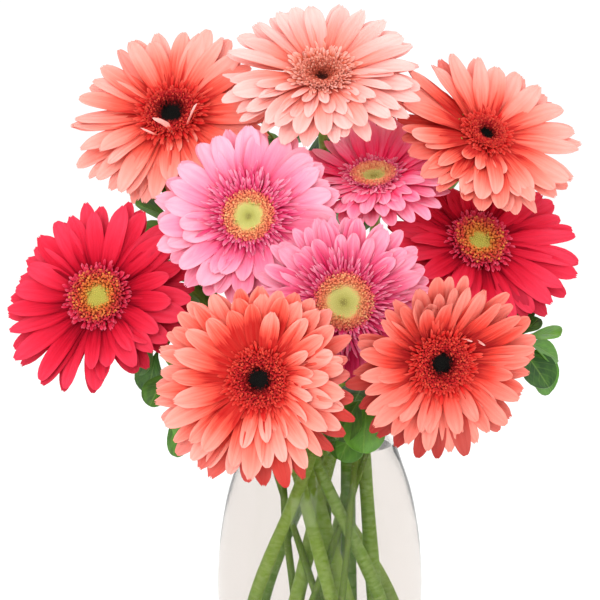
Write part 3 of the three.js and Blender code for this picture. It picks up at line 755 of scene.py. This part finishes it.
def disc_florets(number, head, kind, rng):
    """The disc: a low closed button with florets packed on it in a sunflower spiral, short buds over
    the eye and open tubes that lean outwards round it."""
    count = kind["florets"]
    k = np.arange(count) + 0.5
    share = np.sqrt(k / count)
    angle = k * GOLDEN_ANGLE
    disc = kind["disc"] * head["disc_size"]
    eye = head.get("eye", kind["eye"])
    wander = 0.06 * np.sin(3 * angle + number) + 0.04 * np.sin(5 * angle + 2 * number)
    opened = smooth((share - eye / kind["disc"] + wander + 0.03) / 0.14)
    by = wavering(rng, count)
    radius = share * disc + by(0.25) * opened
    root = np.stack([radius * np.cos(angle), radius * np.sin(angle), disc_height(share, kind) - 0.2], 1)
    lean = 0.6 * (share - 0.45) * opened
    axis = unit(np.stack([np.cos(angle) * lean, np.sin(angle) * lean, np.ones(count)], 1)
                + rng.normal(0, 0.15, (count, 3)) * opened[:, None])
    size = math.sqrt(FLORETS_OF_FULL_SIZE / count) * head["disc_size"]
    length = (0.8 + 1.9 * opened * size) * (1 + by(0.25))
    mouth = size * (0.56 + 0.24 * opened * (1 + by(0.3)))
    dome = np.where(opened > 0.5, -0.5, 0.2)
    points, quads, fans, tip, each = trumpets(root, axis, length, mouth, dome, rng.uniform(0, 6.28, count))
    tone = np.repeat(rng.uniform(0, 1, count), each)
    ring = np.repeat(share, each) * kind["eye"] / eye
    top = [(r * disc, disc_height(r, kind)) for r in np.linspace(0.96, 0.08, 9)]
    below = min(-2.0, kind["eye_height"] - 0.8)
    button, of_button, _ = turned([(0, below), (10.4, below), (10.8, 0.0), (disc, 0.4), *top,
                                   (0, disc_height(0, kind))], 24)
    faces = [np.concatenate([own, under + len(points)]) for own, under in zip((quads, fans), of_button)]
    points = np.concatenate([points, button])
    flat = np.zeros(len(button))
    marks = dict(tone=np.concatenate([tone, flat]), tip=np.concatenate([tip, flat]),
                 ring=np.concatenate([ring, np.hypot(button[:, 0], button[:, 1]) / disc]))
    places = [np.zeros((*group.shape, 2)) for group in faces]
    made = make_mesh(f"disc_{number}", placed(points, head), faces, places, DISCS[kind["centre"]], marks=marks)
    eye_slot = "dark_eye" if kind["centre"] in ("coral", "peach") else "pale_eye"
    return show(made, eye_slot, f"disc_florets_{number}")


# ---- turned and swept shapes ----

def closed_rings(body, count, sides, ends):
    """A closed body of rings of points, its first and last ring joined to an end point each. Gives the
    points, the quads and the fans at the ends, and the places of both."""
    quads, places = grid(count, sides, closed=True)
    low, high, last = len(body), len(body) + 1, len(body) - sides
    k = np.arange(sides)
    n = (k + 1) % sides
    fans = np.concatenate([np.stack([np.full(sides, low), n, k], 1),
                           np.stack([np.full(sides, high), last + k, last + n], 1)])
    return np.concatenate([body, ends]), [quads, fans], [places, np.zeros((*fans.shape, 2))]


def turned(profile, sides):
    """A closed body turned about +z from radius and height, with its first and last points on the axis."""
    rings = np.array(profile[1:-1], float)
    angle = np.arange(sides) * 2 * np.pi / sides
    body = np.stack([rings[:, :1] * np.cos(angle), rings[:, :1] * np.sin(angle),
                     np.repeat(rings[:, 1:], sides, 1)], -1).reshape(-1, 3)
    return closed_rings(body, len(rings), sides, [[0, 0, profile[0][1]], [0, 0, profile[-1][1]]])


def curve(points, steps):
    """A smooth curve through points: uniform Catmull-Rom, with the end points doubled."""
    p = np.array(points, float)
    p = np.concatenate([p[:1], p, p[-1:]])
    t = np.linspace(0, len(p) - 3, steps)
    k = np.minimum(t.astype(int), len(p) - 4)
    u = (t - k)[:, None]
    a, b, c, d = p[k], p[k + 1], p[k + 2], p[k + 3]
    return 0.5 * (2 * b + (c - a) * u + (2 * a - 5 * b + 4 * c - d) * u ** 2 + (3 * b - a - 3 * c + d) * u ** 3)


def centripetal(points, steps):
    """A smooth curve through points whose knots are spaced by the root of their distance."""
    p = np.array(points, float)
    p = np.concatenate([[2 * p[0] - p[1]], p, [2 * p[-1] - p[-2]]])
    gaps = np.maximum(np.sum(np.diff(p, axis=0) ** 2, 1) ** 0.25, 1e-4)[:, None]
    made = []
    u = np.linspace(0, 1, steps)[:, None]
    for k in range(1, len(p) - 2):
        d0, d1, d2 = gaps[k - 1], gaps[k], gaps[k + 1]
        leave = ((p[k] - p[k - 1]) / d0 - (p[k + 1] - p[k - 1]) / (d0 + d1) + (p[k + 1] - p[k]) / d1) * d1
        reach = ((p[k + 1] - p[k]) / d1 - (p[k + 2] - p[k]) / (d1 + d2) + (p[k + 2] - p[k + 1]) / d2) * d1
        second = -3 * p[k] + 3 * p[k + 1] - 2 * leave - reach
        third = 2 * p[k] - 2 * p[k + 1] + leave + reach
        made.append((p[k] + leave * u + second * u ** 2 + third * u ** 3)[:-1])
    return np.concatenate([*made, p[-2:-1]])


def even(path, steps):
    """A path's points again, at even distances along it."""
    run = np.concatenate([[0], np.cumsum(np.linalg.norm(np.diff(path, axis=0), axis=1))])
    at = np.linspace(0, run[-1], steps)
    return np.stack([np.interp(at, run, path[:, k]) for k in range(3)], 1)


def frames(path):
    """The tangent of a path and two directions square to it that turn as little as they can."""
    tangent = unit(np.gradient(path, axis=0))
    across = unit(np.cross(tangent[0], [0.2, 1, 0.1]))
    first = []
    for t in tangent:
        across = unit(across - t * (across @ t))
        first.append(across)
    first = np.array(first)
    return tangent, first, np.cross(tangent, first)


def swept(path, radius, sides, ribs=0.0, rib_count=0):
    """A closed tube along a path with a radius at each of its points, swollen by ribs cos(n angle)."""
    _, a, b = frames(path)
    angle = np.arange(sides) * 2 * np.pi / sides
    size = radius[:, None] * (1 + ribs * np.cos(rib_count * angle))
    body = path[:, None] + size[..., None] * (a[:, None] * np.cos(angle)[:, None]
                                             + b[:, None] * np.sin(angle)[:, None])
    return closed_rings(body.reshape(-1, 3), len(path), sides, path[[0, -1]])


def foot_and_neck(foot, neck, radius, lean=(0, 0)):
    """Where a run starts just above the vase floor, and where it passes the neck. It sets out a third
    of the way to the neck plus lean."""
    across = math.hypot((neck[0] - foot[0]) / 3 + lean[0], (neck[1] - foot[1]) / 3 + lean[1])
    slant = math.atan2(across, (NECK_CROSSING - FLOOR) / 3)
    return (np.array([*foot, FLOOR + GAP + radius * math.sin(slant)]), np.array([*neck, NECK_CROSSING], float))


def bend(a, b, c, d, steps):
    """A cubic curve from a to d that leaves towards b and arrives from c."""
    u = np.linspace(0, 1, steps)[:, None]
    return (1 - u) ** 3 * a + 3 * (1 - u) ** 2 * u * b + 3 * (1 - u) * u * u * c + u ** 3 * d


def stem_path(head):
    """Up through the vase to the neck, straight or bowed, then a bend that ends square to the back of
    the head."""
    front = head_axes(head)[2]
    lean = np.array(head["bow"], float) * BOW_HANDLE
    foot, neck = foot_and_neck(head["foot"], head["neck"], STEM_RADIUS, lean)
    top = np.array(head["at"]) - front * (CUP_DEPTH + GAP)
    along = unit(neck - foot)
    span = np.linalg.norm(top - neck)
    low = bend(foot, foot + (neck - foot) / 3 + np.array([*lean, 0]), foot + (neck - foot) * 2 / 3, neck, 40)
    high = bend(neck, neck + along * 0.4 * span, top - front * 0.3 * span, top, 40)
    return even(np.concatenate([low[:-1], high]), 90)


def gerbera_stem(number, head, rng):
    """A stem that is thickest at its foot, with a slow swell and eight faint ribs."""
    path = stem_path(head)
    share = np.linspace(0, 1, len(path))
    radius = STEM_RADIUS * (1.22 - 0.34 * smooth(share * 1.2) + 0.03 * np.sin(share * 31 + number))
    points, faces, places = swept(path, radius, 24, ribs=0.02, rib_count=8)
    made = make_mesh(f"gerbera_stem_{number}", points, faces, places, STEM,
                     marks=dict(tone=np.full(len(points), rng.uniform())))
    return show(made, "stem", f"stem_{number}")


def bracts(number, head, rng):
    """The involucre: a closed cup with three whorls of pointed scales that lie on it."""
    sets, tones = [], []
    for count, length, width, start, base in ((17, 9, 4.6, 5.0, -17.0), (19, 13.5, 4.4, 6.4, -15.4),
                                              (21, 15.5, 4.0, 8.6, -13.2)):
        by = wavering(rng, count)
        direction = (np.arange(count) + rng.uniform()) * 360 / count + by(3)
        sets.append(blades(
            SHORT_STATIONS, 5, direction, start=start, base=base, length=length * (1 + by(0.08)),
            width=width * (1 + by(0.1)), rise=46 + by(3), arch=-16 + by(5), curl=by(6), cup=0.2 + by(0.05),
            roll=by(4), twist=by(5), sway=by(0.03), blunt=1.1, waist=0.75, broadest=0.35, thickness=0.5))
        tones.append(rng.uniform(0, 1, count))
    scales = blade_piece(f"bracts_{number}", sets, SHORT_STATIONS, 5, head, STEM, tones)
    show(scales, "involucre", f"involucre_{number}")
    cup, faces, places = turned([(0, -16.6), (3.4, -16.8), (6, -15.8), (9.5, -12.6), (13, -7.6), (14.6, -3.4),
                                 (0, -2.9)], 28)
    made = make_mesh(f"cup_{number}", placed(cup, head), faces, places, STEM,
                     marks=dict(tone=np.full(len(cup), 0.2)))
    show(made, "involucre")


# ---- twigs and leaves ----

def leaf_grids(stalk, aim, length, slim, rng):
    """Leaf blades on short stalks, with slim times their length for their half width. Across, the
    height is 0.16 |x| with a slow wave that grows to the edge; along, it arches down by
    0.1 length s^2. Gives upper and lower grids."""
    count = len(stalk)
    right = unit(np.cross(aim, LIGHT))
    over = np.cross(right, aim)
    s = STATIONS[None, :, None]
    v = np.linspace(-1, 1, 9)[None, None, :]
    size = length[:, None, None]
    half = size * slim * (0.04 + 0.96 * smooth((s - 0.1) / 0.55)) * np.sqrt(1 - 0.97 * np.clip(
        (s - 0.66) / 0.34, 0, 1) ** 2.2)
    half = np.maximum(half, 0.45)
    phase, wide = rng.uniform(0, 6.28, (2, count))[..., None, None]
    x = half * v
    y = size * s + 0 * v
    wave = 0.022 * size * np.sin(7 * s + phase + 1.5 * v) * np.abs(v) ** 1.5 * smooth((s - 0.2) / 0.3)
    z = 0.16 * np.abs(x) - (0.1 + 0.03 * np.sin(wide)) * size * s * s + wave
    grids = []
    for depth in (0.0, 0.45):
        local = np.stack([x, y, z + 0.9 - depth * (1 + 0.6 * np.exp(-(v / 0.25) ** 2))], -1)
        grids.append(stalk[:, None, None] + np.einsum("nrck,nkj->nrcj", local, np.stack([right, aim, over], 1)))
    return grids


def twig_path(twig):
    """From the vase floor through the neck, and on through the points of its way."""
    foot, neck = foot_and_neck(twig["foot"], twig["neck"], TWIG_RADIUS)
    return even(centripetal([foot, foot + (neck - foot) * 0.55, neck, *twig["way"]], 30), 90)


def leaves_on(path, leaves, name, rng, nodes=()):
    """A leaf for each (how far along, aim, length, and its half width's share of that if it isn't the
    usual one): from the bark, or from the tip of the path."""
    tangents, _, _ = frames(path)
    for place, (along, aim, length, *slim) in enumerate(leaves, 1):
        at = along * (len(path) - 1)
        k = min(int(at), len(path) - 2)
        origin = path[k] + (path[k + 1] - path[k]) * (at - k)
        tangent = tangents[min(k + 1, len(path) - 1)]
        aim = unit(np.array(aim, float))
        sideways = unit(aim - tangent * (aim @ tangent))
        stalk = origin + (sideways * LEAF_OFF_BARK if along < 1 else tangent * LEAF_OFF_TIP)
        grids = leaf_grids(stalk[None], aim[None], np.array([float(length)]), *(slim or [LEAF_HALF_WIDTH]), rng)
        points, faces, places, under = shells(*grids, STATIONS)
        marks = dict(under=under, tone=np.full(len(points), rng.uniform()))
        blade = make_mesh(f"{name}_{place}", points, faces, places, LEAF, marks=marks)
        show(blade, "leaf", *nodes[place - 1:place])


def twig_and_leaves(number, twig, rng):
    """A twig that thins towards its tip, with a slight swell, and its leaves."""
    path = twig_path(twig)
    share = np.linspace(0, 1, len(path))
    radius = TWIG_RADIUS * (1.15 - 0.5 * share + 0.05 * np.sin(share * 40))
    made = make_mesh(f"bare_twig_{number}", *swept(path, radius, 14), BARK)
    show(made, "twig", f"twig_{number}")
    nodes = [f"leaf_{number}_{place}" for place in range(1, len(twig["leaves"]) + 1)]
    leaves_on(path, (*twig["leaves"], *twig["extra"]), f"leaf_blade_{number}", rng, nodes)


def side_shoot(shoot, rng):
    """A thin shoot that leaves a twig's bark, with leaves of its own."""
    parent = twig_path(TWIGS[shoot["twig"] - 1])
    path = even(centripetal([parent[int(shoot["start"] * (len(parent) - 1))], *shoot["way"]], 20), 50)
    made = make_mesh("side_shoot", *swept(path, np.linspace(1.3, 0.7, len(path)), 12), BARK)
    show(made, "twig")
    leaves_on(path, shoot["leaves"], "shoot_leaf", rng)


# ---- vase and water ----

RIM_RADIUS = 46.2
RIM_HEIGHT = 198.4
RIM_ROUND = 1.6
INSIDE_FROM, INSIDE_TO = FLOOR + 8, 196  # where the inner face follows the outer one
GRIP = 0.15  # how far the water reaches into the glass, so that no gap shows between them


def vase_and_water():
    """The vase, turned from its outside, a round lip and the same outside a wall further in, and the
    water, whose surface climbs a little at the wall."""
    outside = curve(OUTSIDE, 60)
    inside = [(r - WALL, z) for r, z in outside if INSIDE_FROM < z < INSIDE_TO]
    turn = np.radians(np.linspace(-10, 190, 9))
    lip = np.stack([RIM_RADIUS + RIM_ROUND * np.cos(turn), RIM_HEIGHT + RIM_ROUND * np.sin(turn)], 1)
    corner = [(45.6, 14.5), (43.6, 11.2), (40.5, 9.4), (36, FLOOR)]
    foot = [(40, 0), (43.2, 0.2), (45, 1.1)]
    profile = [(0, 0), *foot, *outside[:-1], *lip, *inside[::-1], *corner, (0, FLOOR)]
    show(make_mesh("glass_vase", *turned(profile, GLASS_SIDES), GLASS, 40), "glass", "vase")
    level = WATER_LEVEL - 0.6
    wet = [(r + GRIP, z) for r, z in inside if z < level - 3]
    brim = np.interp(level, outside[:, 1], outside[:, 0]) - WALL
    meniscus = [(brim + GRIP, WATER_LEVEL), (brim - 0.7, WATER_LEVEL - 0.35), (brim - 2.4, level)]
    bottom = [(36, FLOOR - GRIP), (40.6, 9.3), (43.7, 11.1), (45.7, 14.4)]
    profile = [(0, FLOOR - GRIP), *bottom, *wet, *meniscus, (0, level)]
    show(make_mesh("water_body", *turned(profile, GLASS_SIDES), WATER, 40), "water", "water")


# ---- camera, lights and floor ----

CAMERA_ABOVE = 7
CAMERA_AWAY = 1.5
CAMERA_AIM = (-0.012, 0, 0.263)
LIGHT_AIM = (0, 0, 0.28)


def studio_world():
    """White behind the flowers, brightest above, and dimmer on the side that they face, where the
    lights stand."""
    s = Shade("studio", bpy.data.worlds)
    way = s.parts(s.add("ShaderNodeTexCoord", output="Generated"))
    terms = [s.add("ShaderNodeMapRange", {"interpolation_type": "SMOOTHSTEP"},
                   {"Value": way.out(axis), "From Min": low, "From Max": high, "To Min": least, "To Max": most})
             for axis, low, high, least, most in (("Y", -0.5, 0.6, 0.85, 1.05), ("Z", 0.3, 0.9, 0.0, 0.5))]
    sky = s.add("ShaderNodeBackground", inputs={"Color": "ffffff", "Strength": terms[0] + terms[1]})
    return s.close(sky, "ShaderNodeOutputWorld")


def studio():
    """The camera at the photograph's angle, two soft lights and the floor."""
    scene = bpy.context.scene
    scene.view_settings.view_transform = "Standard"
    camera = bpy.data.objects.new("camera", bpy.data.cameras.new("camera"))
    camera.data.lens = 150
    camera.data.sensor_width = 36
    tilt = math.radians(CAMERA_ABOVE)
    x, y, z = CAMERA_AIM
    camera.location = (x, y - CAMERA_AWAY * math.cos(tilt), z + CAMERA_AWAY * math.sin(tilt))
    camera.rotation_euler = (math.pi / 2 - tilt, 0, 0)
    scene.collection.objects.link(camera)
    scene.camera = camera
    scene.world = studio_world()
    for name, place, size, power in (("key", (-0.7, -1.8, 1.0), 1.2, 16), ("fill", (1.1, -1.8, 0.4), 1.5, 11)):
        light = bpy.data.objects.new(name, bpy.data.lights.new(name, "AREA"))
        light.data.size = size
        light.data.energy = power
        light.location = place
        way = unit(np.array(LIGHT_AIM) - np.array(place))
        light.rotation_euler = (math.acos(-way[2]), 0, math.atan2(-way[0], way[1]))
        light.visible_glossy = name == "key"
        scene.collection.objects.link(light)
    slab = turned([(0, -6), (2400, -6), (2400, 0), (0, 0)], 96)
    make_mesh("floor", *slab, floor_material("pale floor"))


studio()
vase_and_water()
for index, flower in enumerate(HEADS, 1):
    flower = PLAIN_HEAD | flower
    kind_of_head = KINDS[flower["kind"]]
    draw = np.random.default_rng(100 + index)
    gerbera_stem(index, flower, draw)
    bracts(index, flower, draw)
    ray_florets(index, flower, kind_of_head, draw)
    inner_florets(index, flower, kind_of_head, draw)
    if "strays" in flower:
        stray_florets(index, flower, np.random.default_rng(400 + index))
    disc_florets(index, flower, kind_of_head, draw)
for index, sprig in enumerate(TWIGS, 1):
    twig_and_leaves(index, sprig, np.random.default_rng(200 + index))
side_shoot(SIDE_SHOOT, np.random.default_rng(300))
